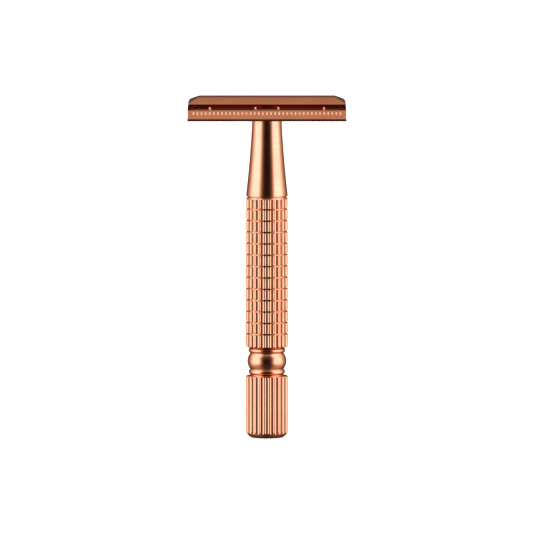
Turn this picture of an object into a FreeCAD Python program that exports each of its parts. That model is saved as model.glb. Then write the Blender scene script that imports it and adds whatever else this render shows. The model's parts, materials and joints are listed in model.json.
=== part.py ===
"""Double-edge safety razor with butterfly doors that a knob at the foot of the handle opens.

Frame: +Z runs up the handle, +X along the blade, -Y is the front.
The origin is the middle of the knob's foot.
All sizes are in millimetres. One STEP file is written for each separate piece.
"""

import math
import os

import FreeCAD
import Part

V = FreeCAD.Vector

# ---- driving dimensions -------------------------------------------------------------------------
HEAD_LENGTH = 44.5  # over the door ends, which close round a 42.85 mm blade
GUARD_DEPTH = 26.0  # front guard bar to rear guard bar
HEAD_BASE_Z = 90.0  # underside of the guard plate
CREST_Z = 96.5  # top of the closed doors

KNOB_TOP_Z = 17.48
NECK_TOP_Z = 25.6
GRIP_TOP_Z = 67.4
KNOB_R = 6.04
GRIP_BOTTOM_R = 6.09
GRIP_TOP_R = 5.96

FLUTES = 28
FLUTE_DEPTH = 0.28
FLUTE_CUTTER_R = 0.79
RING_GROOVES = 12
RING_FIRST_Z = 29.44
RING_PITCH = 3.202
RING_DEPTH = 0.36
RING_HALF_WIDTH = 0.24

# Opening mechanism: the knob turns the rod, whose thread lifts the blade bar and swings the doors.
LIFT = 4.0
DOOR_SWING_DEG = 84.0
LEVER_START_DEG = -35.0  # direction from the hinge pin to the lift pin when closed, from inward level
HINGE_Y = 8.7
HINGE_Z = HEAD_BASE_Z + 3.75
LEVER_START = math.radians(LEVER_START_DEG)
LEVER_END = math.radians(LEVER_START_DEG + DOOR_SWING_DEG)
LEVER_R = LIFT / (math.sin(LEVER_END) - math.sin(LEVER_START))
LIFT_PIN_Y = HINGE_Y - LEVER_R * math.cos(LEVER_START)
LIFT_PIN_Z = HINGE_Z + LEVER_R * math.sin(LEVER_START)
PIN_R = 0.45
HINGE_PLAY = 0.05

# Stack at each end of the head, outwards along X.
HALF_LENGTH = HEAD_LENGTH / 2
EAR_SKIN = 0.4
EAR_THICK = 0.8
LIFT_PLATE_T = 0.4
LIFT_PLATE_X = HALF_LENGTH - EAR_SKIN - 0.04 - LIFT_PLATE_T
BRACKET_T = 0.8
BRACKET_X = LIFT_PLATE_X - 0.11 - BRACKET_T

# Guard plate section.
HALF_DEPTH = GUARD_DEPTH / 2
FLOOR_Z = HEAD_BASE_Z + 1.2
GUTTER_Z = HEAD_BASE_Z + 1.3
GUARD_TOP_Z = HEAD_BASE_Z + 3.05
GUARD_INNER_Y = 11.0
GUARD_EDGE_Z = HEAD_BASE_Z + 0.65  # the bar's upright edge ends and its face leans back from here
RAIL_FRONT_Y = 9.2
RAIL_BACK_Y = 7.7
RAIL_BEND_Z = HEAD_BASE_Z + 2.9  # the rail's front wall leans back above here
RAIL_LEAN = 0.35
RAIL_TOP_Z = HEAD_BASE_Z + 4.15
END_STRIP_Z = HEAD_BASE_Z + 0.85
END_FLARE = 0.1  # how far the foot and top of the plate's ends stand out beyond the doors
END_WAIST = 0.12  # how far their middle draws in
SCALLOPS = 37
SCALLOP_PITCH = 1.145
SCALLOP_R = 0.28
SCALLOP_DEPTH = 0.12
SCALLOP_LOW_Z = HEAD_BASE_Z + 1.88
SCALLOP_HIGH_Z = HEAD_BASE_Z + 2.5
SOAP_SLOT_R = 1.05
SOAP_SLOT_BITE = 0.55  # into the rail's front wall
SOAP_SLOT_TOP_Z = HEAD_BASE_Z + 3.72
MIDDLE_SLOT_HALF = 3.75
END_SLOT_INNER_X = 15.5
END_SLOT_OUTER_X = 20.9
RAIL_END_X = 19.5
HUB_R = 3.5
RIVET_R = 0.6
FOOT_T = 0.5  # bracket foot

# Doors.
DOOR_FRONT_Y = 10.4
DOOR_EDGE_Z = HEAD_BASE_Z + 4.64
LIP_Z = HEAD_BASE_Z + 4.30
DOOR_T = 1.2
DOOR_END_CEILING_Z = HEAD_BASE_Z + 4.8  # lower under the sloping ends
EAR_CEILING_Z = HEAD_BASE_Z + 4.35
DOOR_SPLIT = 0.12

# Blade bar and its post.
BAR_TOP_Z = HEAD_BASE_Z + 4.6
BAR_BOTTOM_Z = HEAD_BASE_Z + 3.4
BAR_HALF_Y = 2.3
PLATE_RIVET_Y = 1.3
PLATE_RIVET_Z = BAR_BOTTOM_Z + 0.42
PLATE_RIVET_R = 0.3
PLATE_RIVET_X = LIFT_PLATE_X - 1.6
STUD_X = 17.6
POST_R = 2.6
POST_BOTTOM_Z = 76.0
BORE_R = 3.0
ROD_R = 1.5
THREAD_R = 1.72
THREAD_PITCH = 1.0
SPIGOT_R = 4.2


# ---- helpers ------------------------------------------------------------------------------------
def save(shape, name):
    """Writes one node, after checking that every solid in it is sound."""
    os.makedirs("parts", exist_ok=True)
    if not shape.isValid() or not shape.Solids:
        raise RuntimeError(name + " is not a valid solid")
    shape.exportStep("parts/" + name + ".step")
    print(name, len(shape.Solids), "solids", round(shape.Volume, 2), "mm3")


def cylinder(radius, low, high, x=0.0, y=0.0):
    return Part.makeCylinder(radius, high - low, V(x, y, low))


def cylinder_x(radius, low, high, y, z):
    return Part.makeCylinder(radius, high - low, V(low, y, z), V(1, 0, 0))


def ring(outer, inner, low, high):
    return cylinder(outer, low, high).cut(cylinder(inner, low - 1, high + 1))


def box(x0, x1, y0, y1, z0, z1):
    return Part.makeBox(x1 - x0, y1 - y0, z1 - z0, V(x0, y0, z0))


def outline(steps):
    """A closed wire. A step is a corner, or a pair of points that an arc passes through to its end."""
    points = [s if isinstance(s[0], float) else s[1] for s in steps]
    edges = []
    last = V(*points[-1])
    for step, point in zip(steps, points):
        here = V(*point)
        if isinstance(step[0], float):
            if last.distanceToPoint(here) > 1e-7:
                edges.append(Part.makeLine(last, here))
        else:
            edges.append(Part.Arc(last, V(*step[0]), here).toShape())
        last = here
    return Part.Wire(edges)


def prism_x(points, low, high):
    """Solid with a YZ outline, from x = low to x = high. A point is (y, z), or a pair of them for an arc."""
    lift = [at_x(low, p) for p in points]
    return Part.Face(outline(lift)).extrude(V(high - low, 0, 0))


def at_x(x, p):
    if isinstance(p[0], tuple):
        return tuple((float(x), float(q[0]), float(q[1])) for q in p)
    return (float(x), float(p[0]), float(p[1]))


def prism_y(points, low, high):
    """Solid with an XZ outline, from y = low to y = high."""
    corners = []
    for p in points:
        if isinstance(p[0], tuple):
            corners.append(tuple((float(q[0]), float(low), float(q[1])) for q in p))
        else:
            corners.append((float(p[0]), float(low), float(p[1])))
    return Part.Face(outline(corners)).extrude(V(0, high - low, 0))


def turned(points):
    """Solid of revolution about Z. Each point is (radius, z), or a pair of them for an arc."""
    corners = []
    for p in points:
        if isinstance(p[0], tuple):
            corners.append(tuple((float(q[0]), 0.0, float(q[1])) for q in p))
        else:
            corners.append((float(p[0]), 0.0, float(p[1])))
    return Part.Face(outline(corners)).revolve(V(0, 0, 0), V(0, 0, 1), 360)


def slot_x(radius, x0, x1, y, low, high):
    """Upright slot with round ends, between centres x0 and x1."""
    middle = box(x0, x1, y - radius, y + radius, low, high)
    ends = [cylinder(radius, low, high, x, y) for x in (x0, x1)]
    return middle.fuse(ends).removeSplitter()


def slot_y(radius, y0, y1, z, low, high):
    """Slot along X through a plate, with round ends between centres y0 and y1."""
    middle = box(low, high, y0, y1, z - radius, z + radius)
    ends = [cylinder_x(radius, low, high, y, z) for y in (y0, y1)]
    return middle.fuse(ends).removeSplitter()


def mirrored_x(shape):
    return shape.mirror(V(0, 0, 0), V(1, 0, 0))


def mirrored_y(shape):
    return shape.mirror(V(0, 0, 0), V(0, 1, 0))


def both_ends(shape):
    return [shape, mirrored_x(shape)]


def four_corners(shape):
    pair = both_ends(shape)
    return pair + [mirrored_y(s) for s in pair]


# ---- handle -------------------------------------------------------------------------------------
def flute_cutters(low_r, high_r, low, high):
    """Round-bottomed grooves along the handle, leaning with its taper, one of them facing the front."""
    reach = FLUTE_CUTTER_R - FLUTE_DEPTH
    lean = (high_r - low_r) / (high - low)
    start = V(low_r + reach - lean, 0, low - 1)
    axis = V(lean, 0, 1)
    cutters = []
    for i in range(FLUTES):
        cutter = Part.makeCylinder(FLUTE_CUTTER_R, high - low + 2, start, axis)
        cutter.rotate(V(0, 0, 0), V(0, 0, 1), -90 + i * 360 / FLUTES)
        cutters.append(cutter)
    return cutters


def grip_radius(z):
    share = (z - NECK_TOP_Z) / (GRIP_TOP_Z - NECK_TOP_Z)
    return GRIP_BOTTOM_R + share * (GRIP_TOP_R - GRIP_BOTTOM_R)


def grip_tube():
    """Fluted tube with ring grooves, threaded for the neck below and the shank above."""
    chamfer_low, chamfer_high = 0.4, 0.16
    body = turned([
        (3.4, 34.0), (SPIGOT_R, 34.0), (SPIGOT_R, NECK_TOP_Z),
        (GRIP_BOTTOM_R - chamfer_low, NECK_TOP_Z), (GRIP_BOTTOM_R, NECK_TOP_Z + chamfer_low),
        (GRIP_TOP_R, GRIP_TOP_Z - chamfer_high), (GRIP_TOP_R - chamfer_high, GRIP_TOP_Z),
        (SPIGOT_R, GRIP_TOP_Z), (SPIGOT_R, 58.0), (3.4, 58.0),
    ])
    body = body.cut(flute_cutters(GRIP_BOTTOM_R, GRIP_TOP_R, NECK_TOP_Z, GRIP_TOP_Z))
    grooves = []
    for i in range(RING_GROOVES):
        z = RING_FIRST_Z + i * RING_PITCH
        r = grip_radius(z)
        grooves.append(turned([
            (r + 1, z - RING_HALF_WIDTH - 0.1), (r + 0.02, z - RING_HALF_WIDTH - 0.1),
            (r - RING_DEPTH + 0.1, z - RING_HALF_WIDTH + 0.06),
            ((r - RING_DEPTH, z), (r - RING_DEPTH + 0.1, z + RING_HALF_WIDTH - 0.06)),
            (r + 0.02, z + RING_HALF_WIDTH + 0.1), (r + 1, z + RING_HALF_WIDTH + 0.1),
        ]))
    return body.cut(grooves)


def shank_cone():
    """Tapered shank: its lower spigot screws into the grip, its upper one holds the guard plate."""
    top_r, bottom_r, bottom_z = 4.12, 5.87, 68.4
    groove_r, ring_r, hollow = 5.46, 5.8, 0.19
    mid_z = (HEAD_BASE_Z + bottom_z) / 2
    mid_r = (top_r + bottom_r) / 2 - hollow
    return turned([
        (BORE_R, 58.5), (SPIGOT_R, 58.5), (SPIGOT_R, GRIP_TOP_Z), (ring_r, GRIP_TOP_Z),
        (groove_r, GRIP_TOP_Z + 0.57), (groove_r, GRIP_TOP_Z + 0.66), (5.82, 68.22),
        ((bottom_r + 0.01, 68.3), (bottom_r, bottom_z)), ((mid_r, mid_z), (top_r, HEAD_BASE_Z)),
        (3.5, HEAD_BASE_Z), (3.5, HEAD_BASE_Z + 2.4), (BORE_R, HEAD_BASE_Z + 2.4),
    ])


def neck_collar():
    """Bead, ball and bead, screwed into the foot of the grip. It carries the rod's lower bearing."""
    return turned([
        (1.75, 24.0), (2.3, 24.0), (2.3, 17.1), (4.6, 17.1), (4.6, 17.75),
        (4.85, 17.95), ((5.12, 18.62), (4.8, 19.25)), (4.74, 19.36), (4.8, 19.48),
        ((5.5, 21.6), (4.8, 23.72)), (4.72, 23.86), (4.8, 24.02),
        ((5.2, 24.68), (4.8, 25.34)), (4.7, NECK_TOP_Z), (SPIGOT_R, NECK_TOP_Z),
        (SPIGOT_R, 33.6), (3.2, 33.6), (3.2, 26.0), (1.75, 26.0),
    ])


def twist_knob():
    """Fluted knob with a dished top that takes the neck, and a domed foot with a flat to stand on."""
    recess_z = 16.7
    body = turned([
        (0.0, 4.0), (0.0, 0.0), (4.3, 0.0), ((5.05, 0.42), (KNOB_R, 1.75)),
        (KNOB_R, KNOB_TOP_Z - 0.35), (KNOB_R - 0.35, KNOB_TOP_Z), (5.2, KNOB_TOP_Z),
        (4.95, 17.3), (4.95, recess_z), (ROD_R, recess_z), (ROD_R, 4.0),
    ])
    return body.cut(flute_cutters(KNOB_R, KNOB_R, 0.0, KNOB_TOP_Z))


def lower_bush():
    return ring(2.3, ROD_R + 0.05, 17.1, 24.0)


def thrust_washer():
    return ring(4.3, ROD_R + 0.15, 16.75, 17.1)


def disc_springs():
    """Four coned washers, stacked in opposed pairs."""
    low, thick, cone = 26.0, 0.3, 0.28
    springs = []
    for i in range(4):
        z = low + i * (thick + cone)
        inner, outer = (0.0, cone) if i % 2 else (cone, 0.0)
        springs.append(turned([
            (1.7, z + inner), (3.0, z + outer), (3.0, z + outer + thick), (1.7, z + inner + thick),
        ]))
    return Part.makeCompound(springs)


def backing_washer():
    return ring(3.0, ROD_R + 0.1, 28.36, 28.7)


def retaining_ring():
    """Open clip in the rod's groove."""
    clip = ring(2.6, 1.22, 28.74, 29.34)
    return clip.cut(box(-0.85, 0.85, 0.0, 4.0, 28.0, 30.0))


def drive_rod():
    """Rod from the knob to the blade bar's post, with the lifting thread at its top."""
    top = HEAD_BASE_Z + 3.0
    thread_low = 74.0
    rod = cylinder(ROD_R, 4.0, thread_low).cut(ring(2.0, 1.2, 28.72, 29.36))
    root = THREAD_R - 0.2
    turns = int((top - 0.5 - thread_low) / THREAD_PITCH)
    points = [(0.0, thread_low), (root, thread_low)]
    for i in range(turns):
        z = thread_low + i * THREAD_PITCH
        points += [(root, z + 0.3), (THREAD_R, z + 0.5), (THREAD_R, z + 0.8), (root, z + THREAD_PITCH)]
    points += [(root, top - 0.4), (root - 0.4, top), (0.0, top)]
    return rod.fuse(turned(points)).removeSplitter()


# ---- guard plate --------------------------------------------------------------------------------
def face_lean():
    """How far the guard bar's face leans back for each millimetre up."""
    return (HALF_DEPTH - GUARD_INNER_Y - 0.2) / (GUARD_TOP_Z - GUARD_EDGE_Z)


def face_y(z):
    """Where the front guard bar's leaning face is at height z."""
    return -HALF_DEPTH + face_lean() * (z - GUARD_EDGE_Z)


def half_section():
    """Front half of the guard plate's YZ outline, from the underside out and back over the top."""
    z = HEAD_BASE_Z
    round_r = 0.5
    corner = round_r * (1 - math.sqrt(0.5))
    lean, slope_top_z = face_lean(), GUARD_TOP_Z - 0.1
    return [
        (0.0, z), (-(HALF_DEPTH - round_r), z),
        ((-(HALF_DEPTH - corner), z + corner), (-HALF_DEPTH, z + round_r)), (-HALF_DEPTH, GUARD_EDGE_Z),
        (face_y(slope_top_z), slope_top_z),
        ((face_y(slope_top_z) + lean * 0.07, GUARD_TOP_Z - 0.02), (-(GUARD_INNER_Y + 0.1), GUARD_TOP_Z)),
        (-GUARD_INNER_Y, GUARD_TOP_Z - 0.1),
        (-GUARD_INNER_Y, GUTTER_Z + 0.3), (-(GUARD_INNER_Y - 0.3), GUTTER_Z),
        (-(RAIL_FRONT_Y + 0.3), GUTTER_Z), (-RAIL_FRONT_Y, GUTTER_Z + 0.3),
        (-RAIL_FRONT_Y, RAIL_BEND_Z), (-(RAIL_FRONT_Y - RAIL_LEAN), RAIL_TOP_Z - 0.1),
        (-(RAIL_FRONT_Y - RAIL_LEAN - 0.1), RAIL_TOP_Z),
        (-RAIL_BACK_Y, RAIL_TOP_Z + 0.25), (-RAIL_BACK_Y, FLOOR_Z), (0.0, FLOOR_Z),
    ]


def end_outline():
    """XZ outline of the whole plate: the ends are slightly hollow and flare at the foot and the top."""
    z = HEAD_BASE_Z
    foot_x = HALF_LENGTH + END_FLARE
    top_x = foot_x - 0.03
    waist_x = HALF_LENGTH - END_WAIST
    above = z + 6
    return [
        (foot_x, z), ((waist_x, z + 1.6), (top_x, GUARD_TOP_Z)), (top_x, above),
        (-top_x, above), (-top_x, GUARD_TOP_Z), ((-waist_x, z + 1.6), (-foot_x, z)),
    ]


def scallop(x):
    """Short shallow groove with round ends up the guard bar's leaning face."""
    lean = face_lean()
    clear = (SCALLOP_R - SCALLOP_DEPTH) / math.hypot(1, lean)
    low = V(x, face_y(SCALLOP_LOW_Z) - clear, SCALLOP_LOW_Z + lean * clear)
    run = V(0, lean, 1) * (SCALLOP_HIGH_Z - SCALLOP_LOW_Z)
    shaft = Part.makeCylinder(SCALLOP_R, run.Length, low, run)
    return shaft.fuse([Part.makeSphere(SCALLOP_R, low), Part.makeSphere(SCALLOP_R, low + run)])


def soap_slots():
    """Slots through the gutter floor that also bite into the rail: one amid and one near each end."""
    y = -(RAIL_FRONT_Y - SOAP_SLOT_BITE + SOAP_SLOT_R)
    low = HEAD_BASE_Z - 1
    inner = END_SLOT_INNER_X + SOAP_SLOT_R
    outer = END_SLOT_OUTER_X - SOAP_SLOT_R
    middle = MIDDLE_SLOT_HALF - SOAP_SLOT_R
    return [
        slot_x(SOAP_SLOT_R, -middle, middle, y, low, SOAP_SLOT_TOP_Z),
        slot_x(SOAP_SLOT_R, inner, outer, y, low, SOAP_SLOT_TOP_Z),
        slot_x(SOAP_SLOT_R, -outer, -inner, y, low, SOAP_SLOT_TOP_Z),
    ]


def bracket_rooms():
    """What is cut from the +X end of the tray for the bracket, the lift plate and the door ears."""
    high = HEAD_BASE_Z + 7
    bracket_in = BRACKET_X - 0.05
    bracket_out = BRACKET_X + BRACKET_T + 0.05
    side = GUARD_INNER_Y
    ears = box(bracket_out, HALF_LENGTH + 1, -side, side, END_STRIP_Z, high)
    strip = box(bracket_in, bracket_out, -side, side, FLOOR_Z, high)
    rail_end = prism_y([
        (RAIL_END_X, RAIL_TOP_Z + 1), (RAIL_END_X, RAIL_TOP_Z), (bracket_in, GUARD_TOP_Z - 0.3),
        (bracket_in, RAIL_TOP_Z + 1),
    ], -side + 0.01, side - 0.01)
    return [ears, strip, rail_end]


def scallops():
    first = -(SCALLOPS - 1) / 2 * SCALLOP_PITCH
    return [scallop(first + i * SCALLOP_PITCH) for i in range(SCALLOPS)]


def rivet_holes():
    holes = []
    for x, y in rivet_places():
        holes += four_corners(cylinder(RIVET_R, HEAD_BASE_Z - 1, FLOOR_Z + 1, x, y))
    return holes


def guard_plate():
    """Tray with a scalloped guard bar and a blade rail along each side."""
    reach = HALF_LENGTH + 1
    front = prism_x(half_section(), -reach, reach)
    section = front.fuse(mirrored_y(front)).removeSplitter()
    plate = section.common(prism_y(end_outline(), -HALF_DEPTH - 1, HALF_DEPTH + 1))

    rooms = bracket_rooms()
    plate = plate.cut(rooms).cut([mirrored_x(room) for room in rooms])
    for cuts in (soap_slots(), scallops()):
        plate = plate.cut(cuts).cut([mirrored_y(c) for c in cuts])
    plate = plate.cut(cylinder(HUB_R, HEAD_BASE_Z - 1, HEAD_BASE_Z + 3))
    return plate.cut(rivet_holes())


def hub_nut():
    """Round nut that holds the guard plate down on the shank, with two spanner slots."""
    nut = ring(4.9, 3.5, FLOOR_Z, HEAD_BASE_Z + 2.3)
    return nut.cut(box(-5.5, 5.5, -0.6, 0.6, HEAD_BASE_Z + 1.75, HEAD_BASE_Z + 3))


def guide_bush():
    return ring(BORE_R, POST_R + 0.05, HEAD_BASE_Z - 6, HEAD_BASE_Z + 2.4)


def rivet_places():
    return [(BRACKET_X - 0.8, 4.4)]


def bracket():
    """Stamped bracket at the +X end: two hinge ears on a strip, with a foot riveted to the tray floor."""
    head_r = 0.85
    x0, x1 = BRACKET_X, BRACKET_X + BRACKET_T
    strip = box(x0, x1, -8.6, 8.6, FLOOR_Z, FLOOR_Z + 1.0)
    ears = []
    for side in (1, -1):
        y = side * HINGE_Y
        upright = prism_x([
            (y + side * 0.45, FLOOR_Z), (y + side * 0.45, HINGE_Z - 0.35), (y + side * 0.78, HINGE_Z - 0.1),
            (y, HINGE_Z + 0.1), (y - side * head_r, HINGE_Z), (y - side * 1.2, FLOOR_Z + 1.2),
            (y - side * 1.2, FLOOR_Z),
        ], x0, x1)
        ears += [upright, cylinder_x(head_r, x0, x1, y, HINGE_Z)]
    foot = box(x0 - 1.5, x0 + 0.1, -6.2, 6.2, FLOOR_Z, FLOOR_Z + FOOT_T)
    plate = strip.fuse(ears + [foot]).removeSplitter()
    holes = [cylinder_x(PIN_R, x0 - 1, x1 + 1, side * HINGE_Y, HINGE_Z) for side in (1, -1)]
    x, y = rivet_places()[0]
    holes += [cylinder(RIVET_R, FLOOR_Z - 1, FLOOR_Z + 2, x, side * y) for side in (1, -1)]
    return plate.cut(holes)


def bracket_rivets():
    """Domed rivets through the bracket feet and the tray floor."""
    x, y = rivet_places()[0]
    seat_z = FLOOR_Z + FOOT_T
    shank = cylinder(RIVET_R, HEAD_BASE_Z, seat_z, x, y)
    above = box(x - 2, x + 2, y - 2, y + 2, seat_z, seat_z + 2)
    dome = Part.makeSphere(0.76, V(x, y, seat_z - 0.3)).common(above)
    return Part.makeCompound(four_corners(shank.fuse(dome).removeSplitter()))


def hinge_pins():
    pin = cylinder_x(PIN_R, BRACKET_X - 0.1, HALF_LENGTH - 0.04, -HINGE_Y, HINGE_Z)
    return Part.makeCompound(four_corners(pin))


# ---- blade bar, which the thread lifts ----------------------------------------------------------
def blade_bar():
    """Bar under the middle of the blade, with a ridge along it that the blade's slot drops over."""
    crown = 0.12
    bar = prism_x([
        (-BAR_HALF_Y, BAR_BOTTOM_Z), (-BAR_HALF_Y, BAR_TOP_Z - crown),
        ((0.0, BAR_TOP_Z), (BAR_HALF_Y, BAR_TOP_Z - crown)), (BAR_HALF_Y, BAR_BOTTOM_Z),
    ], -LIFT_PLATE_X, LIFT_PLATE_X)
    ridge = prism_y([
        (2.6, BAR_TOP_Z - 0.3), (2.9, BAR_TOP_Z + 0.35), (16.2, BAR_TOP_Z + 0.35), (16.5, BAR_TOP_Z - 0.3),
    ], -0.45, 0.45)
    bar = bar.fuse(both_ends(ridge)).removeSplitter()
    holes = [cylinder(1.6, BAR_BOTTOM_Z - 1, BAR_TOP_Z + 1)]
    holes += [cylinder(0.7, BAR_BOTTOM_Z - 1, BAR_TOP_Z + 1, x, 0.0) for x in (-STUD_X, STUD_X)]
    for side in (1, -1):
        y = side * PLATE_RIVET_Y
        holes += both_ends(cylinder_x(PLATE_RIVET_R, PLATE_RIVET_X, LIFT_PLATE_X + 1, y, PLATE_RIVET_Z))
    return bar.cut(holes)


def blade_studs():
    """Two pins that locate the ends of the blade's slot."""
    stud = turned([(0.0, BAR_BOTTOM_Z), (0.7, BAR_BOTTOM_Z), (0.7, BAR_TOP_Z + 0.25), (0.5, BAR_TOP_Z + 0.42),
                   (0.0, BAR_TOP_Z + 0.42)])
    return Part.makeCompound([stud.translated(V(x, 0, 0)) for x in (-STUD_X, STUD_X)])


def lift_post():
    """Threaded post under the blade bar, riveted through it."""
    post = cylinder(POST_R, POST_BOTTOM_Z, BAR_BOTTOM_Z).fuse(cylinder(1.6, BAR_BOTTOM_Z, BAR_TOP_Z))
    return post.cut(cylinder(THREAD_R + 0.06, POST_BOTTOM_Z - 1, HEAD_BASE_Z + 3.2)).removeSplitter()


def lift_plate():
    """Plate at the +X end of the blade bar, with a slot at each side for a door's lift pin."""
    slot_z, slot_r = pin_slot()
    y_near = HINGE_Y - LEVER_R
    y_far = HINGE_Y - LEVER_R * math.cos(LEVER_END)
    inner_y, outer_y = BAR_HALF_Y, -(HINGE_Y - 1.0)
    low, top = slot_z - slot_r - 0.4, slot_z + slot_r + 0.4
    half = [(0.0, low), (outer_y + 0.6, low), ((outer_y + 0.18, low + 0.18), (outer_y, low + 0.6)),
            (outer_y, top - 0.5), (outer_y + 0.5, top), (-inner_y - 0.6, top), (-inner_y, top + 0.6),
            (-inner_y, EAR_CEILING_Z - 0.15), (0.0, EAR_CEILING_Z - 0.15)]
    x0, x1 = LIFT_PLATE_X, LIFT_PLATE_X + LIFT_PLATE_T
    plate = prism_x(half, x0, x1)
    plate = plate.fuse(mirrored_y(plate)).removeSplitter()
    holes = []
    for side in (1, -1):
        y0, y1 = sorted((side * y_near, side * y_far))
        holes.append(slot_y(slot_r, y0, y1, slot_z, x0 - 1, x1 + 1))
        holes.append(cylinder_x(PLATE_RIVET_R, x0 - 1, x1 + 1, side * PLATE_RIVET_Y, PLATE_RIVET_Z))
    return plate.cut(holes)


def pin_slot():
    """Height and half-width of the slot: the lift pin wanders in it, because the swing is not quite even."""
    heights = []
    steps = 84
    for i in range(steps + 1):
        share = i / steps
        angle = LEVER_START + share * (LEVER_END - LEVER_START)
        heights.append(HINGE_Z + LEVER_R * math.sin(angle) - share * LIFT)
    return (max(heights) + min(heights)) / 2, PIN_R + (max(heights) - min(heights)) / 2 + 0.06


def plate_rivets():
    head_x = LIFT_PLATE_X + LIFT_PLATE_T
    rivet = cylinder_x(PLATE_RIVET_R, PLATE_RIVET_X, head_x, PLATE_RIVET_Y, PLATE_RIVET_Z)
    return Part.makeCompound(four_corners(rivet))


# ---- doors --------------------------------------------------------------------------------------
def arc_z(y, crest, edge_y, edge_z):
    """Height at y of the arc that is level at y = 0 and passes through (edge_y, edge_z)."""
    drop = crest - edge_z
    radius = (edge_y ** 2 + drop ** 2) / (2 * drop)
    return crest - radius + math.sqrt(radius ** 2 - y ** 2)


def front_door():
    """Curved door over the front half of the blade, closed at each end by an ear that carries the pins."""
    inner_crest = CREST_Z - DOOR_T
    hollow_end = 18.4
    split = -DOOR_SPLIT
    lip_y = -(DOOR_FRONT_Y - 0.5)
    crown = (-6.0, arc_z(6.0, CREST_Z, DOOR_FRONT_Y, DOOR_EDGE_Z))
    block = prism_x([
        (split, LIP_Z), (split, CREST_Z), (crown, (-DOOR_FRONT_Y, DOOR_EDGE_Z)), (-DOOR_FRONT_Y, LIP_Z),
    ], -HALF_LENGTH, HALF_LENGTH)
    hollow = under_arc(inner_crest, lip_y, -hollow_end, hollow_end)
    low_hollow = under_arc(DOOR_END_CEILING_Z, lip_y, -LIFT_PLATE_X - 0.04, LIFT_PLATE_X + 0.04)
    door = block.cut([hollow, low_hollow])
    door = door.cut(both_ends(cylinder_x(1.12, BRACKET_X - 0.2, HALF_LENGTH - EAR_THICK, -HINGE_Y, HINGE_Z)))
    door = door.fuse(both_ends(door_ear())).cut(both_ends(ear_pocket())).removeSplitter()

    z = HEAD_BASE_Z
    bevel = prism_y([
        (-18.7, CREST_Z), (18.7, CREST_Z), (HALF_LENGTH - 0.85, z + 5.2),
        ((HALF_LENGTH - 0.32, z + 4.72), (HALF_LENGTH - 0.08, z + 4.05)), (HALF_LENGTH, z + 3.5),
        (HALF_LENGTH, z), (-HALF_LENGTH, z), (-HALF_LENGTH, z + 3.5), (-HALF_LENGTH + 0.08, z + 4.05),
        ((-HALF_LENGTH + 0.32, z + 4.72), (-HALF_LENGTH + 0.85, z + 5.2)),
    ], -HALF_DEPTH, 1.0)
    door = door.common(bevel)
    x0, x1 = HALF_LENGTH - EAR_THICK - 0.5, HALF_LENGTH + 1
    holes = both_ends(cylinder_x(PIN_R, x0, x1, -LIFT_PIN_Y, LIFT_PIN_Z))
    holes += both_ends(cylinder_x(PIN_R + HINGE_PLAY, x0, x1, -HINGE_Y, HINGE_Z))
    return door.cut(holes)


def under_arc(crest, lip_y, low, high):
    """The space under a door, which is crest high at the middle of the head and LIP_Z high at lip_y."""
    return prism_x([
        (1.0, LIP_Z - 1), (1.0, crest), (0.0, crest),
        ((lip_y / 2, arc_z(lip_y / 2, crest, lip_y, LIP_Z)), (lip_y, LIP_Z)), (lip_y, LIP_Z - 1),
    ], low, high)


def door_ear():
    """Ear at the +X end, from the door's roof down past the hinge to the lift pin."""
    low = LIFT_PIN_Z - PIN_R - 0.45
    split = -DOOR_SPLIT
    x0, x1 = HALF_LENGTH - EAR_THICK, HALF_LENGTH
    ear = prism_x([
        (split, DOOR_END_CEILING_Z + 0.1), (-DOOR_FRONT_Y + 0.3, DOOR_EDGE_Z - 0.2), (-DOOR_FRONT_Y, LIP_Z),
        (-DOOR_FRONT_Y, HEAD_BASE_Z + 3.25), (-DOOR_FRONT_Y + 0.35, HEAD_BASE_Z + 2.9),
        (-HINGE_Y - 0.3, HEAD_BASE_Z + 2.45), (-HINGE_Y + 1.0, low + 0.45), (-HINGE_Y + 1.6, low),
        (split, low),
    ], x0, x1)
    sweep = cylinder_x(HINGE_Y - 0.2, x0 - 1, x1 + 1, -HINGE_Y, HINGE_Z)
    above = box(x0 - 1, x1 + 1, -HALF_DEPTH, 1, HINGE_Z, CREST_Z + 1)
    return ear.common(sweep.fuse(above))


def ear_pocket():
    """Space inside the ear that the lift plate passes through, which leaves a boss round the hinge pin."""
    boss_r = 0.8
    x0, x1 = HALF_LENGTH - EAR_THICK - 0.02, HALF_LENGTH - EAR_SKIN
    below = box(x0, x1, -HALF_DEPTH, 1, HEAD_BASE_Z, HINGE_Z)
    beside = box(x0, x1, -(HINGE_Y - boss_r), 1, HINGE_Z - 0.1, EAR_CEILING_Z)
    return below.fuse(beside).cut(cylinder_x(boss_r, x0 - 1, x1 + 1, -HINGE_Y, HINGE_Z))


def lift_pins():
    """The front door's pins that ride in the lift plates."""
    pin = cylinder_x(PIN_R, LIFT_PLATE_X + 0.02, HALF_LENGTH - 0.04, -LIFT_PIN_Y, LIFT_PIN_Z)
    return Part.makeCompound(both_ends(pin))


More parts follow.
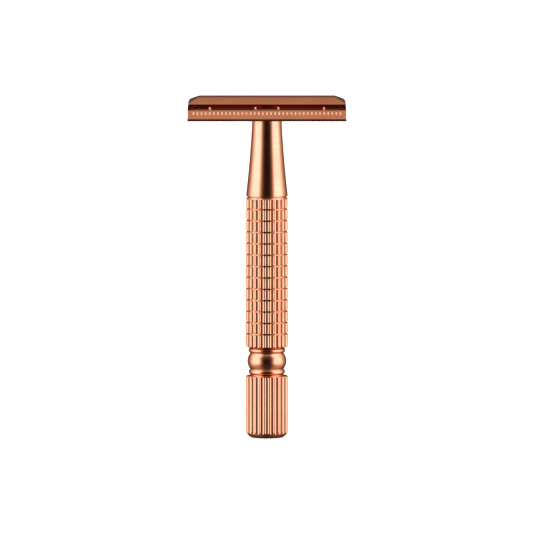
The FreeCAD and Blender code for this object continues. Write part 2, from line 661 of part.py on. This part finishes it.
# ---- build --------------------------------------------------------------------------------------
def main():
    save(twist_knob(), "twist_knob")
    save(drive_rod(), "drive_rod")
    save(retaining_ring(), "retaining_ring")
    save(thrust_washer(), "thrust_washer")
    save(lower_bush(), "lower_bush")
    save(disc_springs(), "disc_springs")
    save(backing_washer(), "backing_washer")
    save(neck_collar(), "neck_collar")
    save(grip_tube(), "grip_tube")
    save(shank_cone(), "shank_cone")
    save(guard_plate(), "guard_plate")
    save(hub_nut(), "hub_nut")
    save(guide_bush(), "guide_bush")
    end_bracket = bracket()
    save(end_bracket, "right_bracket")
    save(mirrored_x(end_bracket), "left_bracket")
    save(bracket_rivets(), "bracket_rivets")
    save(hinge_pins(), "hinge_pins")
    save(blade_bar(), "blade_bar")
    save(blade_studs(), "blade_studs")
    save(lift_post(), "lift_post")
    end_plate = lift_plate()
    save(end_plate, "right_lift_plate")
    save(mirrored_x(end_plate), "left_lift_plate")
    save(plate_rivets(), "plate_rivets")
    door = front_door()
    save(door, "front_door")
    save(mirrored_y(door), "rear_door")
    pins = lift_pins()
    save(pins, "front_lift_pins")
    save(mirrored_y(pins), "rear_lift_pins")


main()
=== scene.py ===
import json
import math

import bpy
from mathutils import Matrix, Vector


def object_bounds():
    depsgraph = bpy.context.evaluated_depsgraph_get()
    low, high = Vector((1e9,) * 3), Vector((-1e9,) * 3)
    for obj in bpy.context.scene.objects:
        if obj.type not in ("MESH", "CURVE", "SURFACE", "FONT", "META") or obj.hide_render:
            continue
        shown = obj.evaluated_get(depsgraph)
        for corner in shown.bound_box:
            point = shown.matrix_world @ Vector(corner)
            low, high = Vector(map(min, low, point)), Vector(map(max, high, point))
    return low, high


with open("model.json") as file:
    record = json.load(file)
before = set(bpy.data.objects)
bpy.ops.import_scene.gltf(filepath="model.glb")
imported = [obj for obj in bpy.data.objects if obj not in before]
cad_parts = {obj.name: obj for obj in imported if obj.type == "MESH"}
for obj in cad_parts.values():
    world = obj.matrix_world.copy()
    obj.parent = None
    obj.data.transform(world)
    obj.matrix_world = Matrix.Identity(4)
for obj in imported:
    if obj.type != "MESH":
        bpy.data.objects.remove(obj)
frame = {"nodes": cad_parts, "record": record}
cad_bounds = [list(corner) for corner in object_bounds()]
NODES = frame["nodes"]

# ---- camera, in metres and degrees ----
CAMERA_RISE = 4.5
CAMERA_AWAY = 3.0
VIEW_WIDTH = 0.15011
SENSOR_WIDTH = 36
AIM_OFFSET = (-0.00012, 0, 0.000005)

# ---- studio ----
# Light by direction. Each level is an elevation in degrees with the strength of the light at turns
# of 0 (camera side) to 180 degrees (behind the razor), the same on the left and the right.
BESIDE = [(0, .02), (14, .03), (18, .05), (24, .13), (30, .28), (36, .58), (42, 1.28), (48, 2.0),
          (56, 2.25), (84, 2.25), (96, 1.8), (102, 1.3), (108, .98), (120, .6), (132, .33), (140, .26),
          (160, .12), (180, .1)]
LEVELS = {
    -90: [(0, .05), (180, .05)],
    -60: [(0, .04), (20, .06), (30, .1), (40, .15), (48, .2), (60, .28), (90, .28), (105, .25),
          (120, .2), (135, .15), (150, .1), (180, .08)],
    -30: [(0, .05), (20, .06), (30, .12), (40, .3), (48, .5), (60, .7), (90, .7), (105, .55),
          (120, .35), (135, .2), (150, .1), (180, .08)],
    -10: BESIDE,
    12: BESIDE,
    25: [(0, .05), (20, .07), (30, .2), (40, .6), (48, 1.4), (60, 2.1), (90, 2.2), (105, 1.7),
         (120, .9), (135, .55), (150, .45), (180, .43)],
    45: [(0, .11), (20, .15), (30, .3), (40, .8), (48, 1.5), (60, 2.1), (90, 2.2), (105, 1.6),
         (120, 1.0), (135, .6), (150, .46), (180, .44)],
    65: [(0, .49), (20, .49), (30, .58), (40, .9), (48, 1.4), (60, 1.9), (90, 1.9), (105, 1.5),
         (120, 1.0), (135, .6), (150, .45), (180, .42)],
    90: [(0, .6), (180, .6)],
}
BRIGHTEST = 2.5
# The soft boxes are cool and the dim parts of the room warm: tint of the light by its strength.
TINTS = [(0.0, (1.0, .80, .69)), (0.41, (1.0, .90, .78)), (0.58, (1.0, 1.0, .88)),
         (1.06, (.88, 1.0, 1.0)), (1.44, (.82, 1.0, 1.2)), (2.25, (.76, 1.0, 1.24))]
STRONGEST_TINT = 1.25
BACKDROP_STRENGTH = 1.1
FLOOR_RADIUS = 9.0
FLOOR_SIDES = 96
# The floor is a little warm, so that it looks neutral under the cool soft boxes.
FLOOR_COLOUR = (0.93, 0.80, 0.70, 1)
FLOOR_ROUGHNESS = 0.9
FLOOR_GLOW = 0.6

# ---- finishes: colours, noise scales in features per metre, and bump heights in metres ----
ROSE, ROSE_DEEP, ROSE_EDGE = (0.98, 0.405, 0.230), (0.90, 0.330, 0.182), (0.97, 0.47, 0.30)
# The grip and knob get the same rose colours darkened: painted shade standing in for the shade inside
# their flutes.
FLUTED_SHADE_ROSE, FLUTED_SHADE_ROSE_DEEP = (0.86, 0.335, 0.168), (0.78, 0.285, 0.140)
ROSE_TINT = (1.0, 0.72, 0.62)
BRASS, BRASS_DEEP, BRASS_EDGE = (0.82, 0.58, 0.26), (0.72, 0.48, 0.20), (0.9, 0.7, 0.4)
BRASS_TINT = (1.0, 0.86, 0.6)
STEEL, STEEL_DEEP, STEEL_EDGE = (0.60, 0.60, 0.61), (0.50, 0.50, 0.52), (0.7, 0.7, 0.7)
STEEL_TINT = (1.0, 1.0, 1.0)
PLASTIC, PLASTIC_YELLOWED = (0.78, 0.76, 0.70), (0.70, 0.67, 0.58)
PRESSED_LINES = (200, 2600, 2600)
PLATED_LINES = (160, 160, 5200)
BRASS_LINES = (200, 200, 6000)
STEEL_LINES = (200, 200, 5000)
DRIFT_SCALE, CLOUD_SCALE, WEAR_SCALE, HAZE_SCALE, WAVE_SCALE = 160.0, 900.0, 2200.0, 260.0, 420.0
CLOUD_SHARE, LINE_SHARE, WEAR_SHARE = 0.25, 0.6, 0.35
HAZE_ROUGHNESS, LINE_ROUGHNESS, WEAR_ROUGHNESS = 0.035, 0.03, 0.06
WAVE_HEIGHT = 0.0000012
YELLOWING_SCALE, GRAIN_SCALE = 300.0, 9000.0
GRAIN_HEIGHT = 0.000004
FLUTED_NODES = ("grip_tube", "twist_knob")


class Tree:
    """Short names for making and joining the nodes of one node tree."""

    def __init__(self, tree):
        self.tree = tree

    def add(self, kind, **settings):
        node = self.tree.nodes.new(kind)
        for name, value in settings.items():
            setattr(node, name, value)
        return node

    def put(self, socket, value):
        """Links value if it is another node's output, and otherwise sets it on the socket."""
        if isinstance(value, bpy.types.NodeSocket):
            self.tree.links.new(value, socket)
        elif isinstance(value, tuple) and len(value) == 3 and socket.type == "RGBA":
            socket.default_value = (*value, 1)
        else:
            socket.default_value = value

    def math(self, operation, *values, clamp=False):
        node = self.add("ShaderNodeMath", operation=operation, use_clamp=clamp)
        for socket, value in zip(node.inputs, values):
            self.put(socket, value)
        return node.outputs[0]

    def span(self, value, low, high, out_low=0.0, out_high=1.0):
        """value mapped from low..high to out_low..out_high, and held at the ends."""
        node = self.add("ShaderNodeMapRange", clamp=True)
        for socket, number in zip(node.inputs, (value, low, high, out_low, out_high)):
            self.put(socket, number)
        return node.outputs[0]

    def ramp(self, value, stops):
        node = self.add("ShaderNodeValToRGB")
        band = node.color_ramp
        while len(band.elements) < len(stops):
            band.elements.new(0.5)
        for element, (place, shade) in zip(band.elements, stops):
            element.position = place
            element.color = (*shade, 1) if isinstance(shade, tuple) else (shade, shade, shade, 1)
        self.put(node.inputs[0], value)
        return node.outputs["Color"]

    def blend(self, share, first, second):
        """first where share is 0, second where it is 1; 6 and 7 are the Mix node's colour inputs."""
        node = self.add("ShaderNodeMix", data_type="RGBA")
        self.put(node.inputs[0], share)
        self.put(node.inputs[6], first)
        self.put(node.inputs[7], second)
        return node.outputs[2]

    def noise(self, where, scale, detail=3.0, roughness=0.5):
        node = self.add("ShaderNodeTexNoise")
        self.put(node.inputs["Vector"], where)
        self.put(node.inputs["Scale"], scale)
        self.put(node.inputs["Detail"], detail)
        self.put(node.inputs["Roughness"], roughness)
        return node.outputs["Fac"]

    def times(self, vector, factor):
        node = self.add("ShaderNodeVectorMath", operation="MULTIPLY")
        self.put(node.inputs[0], vector)
        self.put(node.inputs[1], factor)
        return node.outputs[0]

    def bump(self, height, distance, normal=None):
        node = self.add("ShaderNodeBump")
        node.inputs["Strength"].default_value = 1.0
        node.inputs["Distance"].default_value = distance
        self.put(node.inputs["Height"], height)
        if normal is not None:
            self.put(node.inputs["Normal"], normal)
        return node.outputs[0]


def studio_light(t):
    """The light's colour by direction, as a share of BRIGHTEST and of STRONGEST_TINT."""
    split = t.add("ShaderNodeSeparateXYZ")
    t.put(split.inputs[0], t.add("ShaderNodeTexCoord").outputs["Generated"])
    x, y, z = split.outputs
    toward_camera = t.math("MULTIPLY", y, -1.0)
    turn = t.math("DIVIDE", t.math("ARCTAN2", t.math("ABSOLUTE", x), toward_camera), math.pi)
    rise = t.math("DEGREES", t.math("ARCSINE", z))
    light, below = None, None
    for level in sorted(LEVELS):
        shade = t.ramp(turn, [(angle / 180, value / BRIGHTEST) for angle, value in LEVELS[level]])
        light = shade if light is None else t.blend(t.span(rise, below, level), light, shade)
        below = level
    strength = t.add("ShaderNodeRGBToBW")
    t.put(strength.inputs[0], light)
    stops = [(value / BRIGHTEST, tuple(c / STRONGEST_TINT for c in shade)) for value, shade in TINTS]
    return t.times(light, t.ramp(strength.outputs[0], stops))


def build_world():
    """The studio light, and plain white where the camera looks past the floor."""
    world = bpy.data.worlds.new("studio")
    bpy.context.scene.world = world
    world.use_nodes = True
    world.node_tree.nodes.clear()
    t = Tree(world.node_tree)
    studio = t.add("ShaderNodeBackground")
    t.put(studio.inputs["Color"], studio_light(t))
    studio.inputs["Strength"].default_value = BRIGHTEST * STRONGEST_TINT
    pale = t.add("ShaderNodeBackground")
    pale.inputs["Color"].default_value = (1, 1, 1, 1)
    pale.inputs["Strength"].default_value = BACKDROP_STRENGTH
    choose = t.add("ShaderNodeMixShader")
    t.put(choose.inputs[0], t.add("ShaderNodeLightPath").outputs["Is Camera Ray"])
    t.put(choose.inputs[1], studio.outputs[0])
    t.put(choose.inputs[2], pale.outputs[0])
    t.put(t.add("ShaderNodeOutputWorld").inputs["Surface"], choose.outputs[0])


def build_floor():
    step = 2 * math.pi / FLOOR_SIDES
    rim = [(FLOOR_RADIUS * math.cos(step * i), FLOOR_RADIUS * math.sin(step * i), 0.0)
           for i in range(FLOOR_SIDES)]
    mesh = bpy.data.meshes.new("floor")
    mesh.from_pydata(rim, [], [list(range(FLOOR_SIDES))])
    floor = bpy.data.objects.new("floor", mesh)
    bpy.context.scene.collection.objects.link(floor)
    material = bpy.data.materials.new("floor")
    material.use_nodes = True
    shader = material.node_tree.nodes["Principled BSDF"]
    shader.inputs["Base Color"].default_value = FLOOR_COLOUR
    shader.inputs["Roughness"].default_value = FLOOR_ROUGHNESS
    shader.inputs["Specular IOR Level"].default_value = 0.0
    shader.inputs["Emission Color"].default_value = (1, 1, 1, 1)
    shader.inputs["Emission Strength"].default_value = FLOOR_GLOW
    mesh.materials.append(material)
    floor.visible_glossy = False


def build_camera():
    """A far camera in front of the razor's middle, a little above it."""
    low, high = (Vector(corner) for corner in cad_bounds)
    aim = (low + high) / 2 + Vector(AIM_OFFSET)
    rise = math.radians(CAMERA_RISE)
    lens = bpy.data.cameras.new("camera")
    lens.sensor_width = SENSOR_WIDTH
    lens.lens = SENSOR_WIDTH * CAMERA_AWAY / VIEW_WIDTH
    lens.clip_end = 100
    camera = bpy.data.objects.new("camera", lens)
    bpy.context.scene.collection.objects.link(camera)
    camera.location = aim + CAMERA_AWAY * Vector((0, -math.cos(rise), math.sin(rise)))
    camera.rotation_euler = (math.pi / 2 - rise, 0, 0)
    bpy.context.scene.camera = camera


def start(name):
    """A new material, its tree, the object's coordinates in metres, and its shader."""
    material = bpy.data.materials.new(name)
    material.use_nodes = True
    t = Tree(material.node_tree)
    where = t.add("ShaderNodeTexCoord").outputs["Object"]
    return material, t, where, material.node_tree.nodes["Principled BSDF"]


def metal(name, colours, tint, smooth, lines, line_depth):
    """Polished metal. Its colour drifts from the first of colours to the second, worn edges show the
    third, haze dulls it in patches, and lines, a stretch of the noise that draws them, are what
    polishing or turning left."""
    colour, deep, edge = colours
    material, t, where, shader = start(name)
    drift = t.noise(where, DRIFT_SCALE, 4.0, 0.55)
    cloud = t.span(t.noise(where, CLOUD_SCALE, 3.0), 0.45, 0.7)
    fine = t.noise(t.times(where, lines), 1.0, 5.0, 0.6)
    body = t.blend(t.span(drift, 0.35, 0.65), colour, deep)
    body = t.blend(t.math("MULTIPLY", cloud, CLOUD_SHARE), body, deep)
    body = t.blend(t.math("MULTIPLY", t.span(fine, 0.42, 0.62), LINE_SHARE), body, deep)
    point = t.span(t.add("ShaderNodeNewGeometry").outputs["Pointiness"], 0.52, 0.58)
    worn = t.math("MULTIPLY", point, t.span(t.noise(where, WEAR_SCALE), 0.4, 0.6), clamp=True)
    t.put(shader.inputs["Base Color"], t.blend(t.math("MULTIPLY", worn, WEAR_SHARE), body, edge))
    haze = t.span(t.noise(where, HAZE_SCALE, 5.0, 0.6), 0.4, 0.7)
    rough = t.math("ADD", smooth, t.math("MULTIPLY", haze, HAZE_ROUGHNESS))
    rough = t.math("ADD", rough, t.math("MULTIPLY", t.span(fine, 0.55, 0.75), LINE_ROUGHNESS))
    t.put(shader.inputs["Roughness"], t.math("ADD", rough, t.math("MULTIPLY", worn, WEAR_ROUGHNESS)))
    waves = t.bump(t.noise(where, WAVE_SCALE, 2.0), WAVE_HEIGHT)
    t.put(shader.inputs["Normal"], t.bump(fine, line_depth, waves))
    shader.inputs["Metallic"].default_value = 1
    shader.inputs["Specular Tint"].default_value = (*tint, 1)
    return material


def plastic(name):
    """Pale moulded plastic with a fine grain and a little yellowing."""
    material, t, where, shader = start(name)
    shade = t.span(t.noise(where, YELLOWING_SCALE, 4.0), 0.35, 0.65)
    t.put(shader.inputs["Base Color"], t.blend(shade, PLASTIC, PLASTIC_YELLOWED))
    grain = t.noise(where, GRAIN_SCALE, 2.0)
    t.put(shader.inputs["Roughness"], t.span(grain, 0.3, 0.7, 0.42, 0.56))
    t.put(shader.inputs["Normal"], t.bump(grain, GRAIN_HEIGHT))
    return material


def build_materials():
    """The finishes by material slot, and a darker copy of the rose finish, painted shade, for the grip
    and knob.
    """
    rose = (ROSE, ROSE_DEEP, ROSE_EDGE)
    fluted_shade_rose = (FLUTED_SHADE_ROSE, FLUTED_SHADE_ROSE_DEEP, ROSE_EDGE)
    brass = (BRASS, BRASS_DEEP, BRASS_EDGE)
    steel = (STEEL, STEEL_DEEP, STEEL_EDGE)
    return {
        "rose_gold_plate": metal("polished_plate", rose, ROSE_TINT, 0.085, PRESSED_LINES, 0.0000009),
        "rose_gold_handle": metal("turned_plate", rose, ROSE_TINT, 0.08, PLATED_LINES, 0.0000002),
        "fluted_painted_shade": metal("fluted_plate_painted_shade", fluted_shade_rose, ROSE_TINT, 0.045, PLATED_LINES, 0.0000002),
        "brass": metal("turned_brass", brass, BRASS_TINT, 0.2, BRASS_LINES, 0.0000008),
        "steel": metal("turned_steel", steel, STEEL_TINT, 0.24, STEEL_LINES, 0.000001),
        "plastic_washer": plastic("washer_plastic"),
    }


def dress_nodes(finishes):
    """Gives each CAD node the finish of its material slot, and the grip and knob the darker copy with
    painted shade.
    """
    slot_of = {part["node"]: part["material_slot"] for part in frame["record"]["subparts"]}
    for name, node in NODES.items():
        finish = finishes["fluted_painted_shade" if name in FLUTED_NODES else slot_of[name]]
        for slot in node.material_slots:
            slot.material = finish


view = bpy.context.scene.view_settings
view.view_transform = "Standard"
view.look = "None"
build_world()
build_floor()
build_camera()
dress_nodes(build_materials())
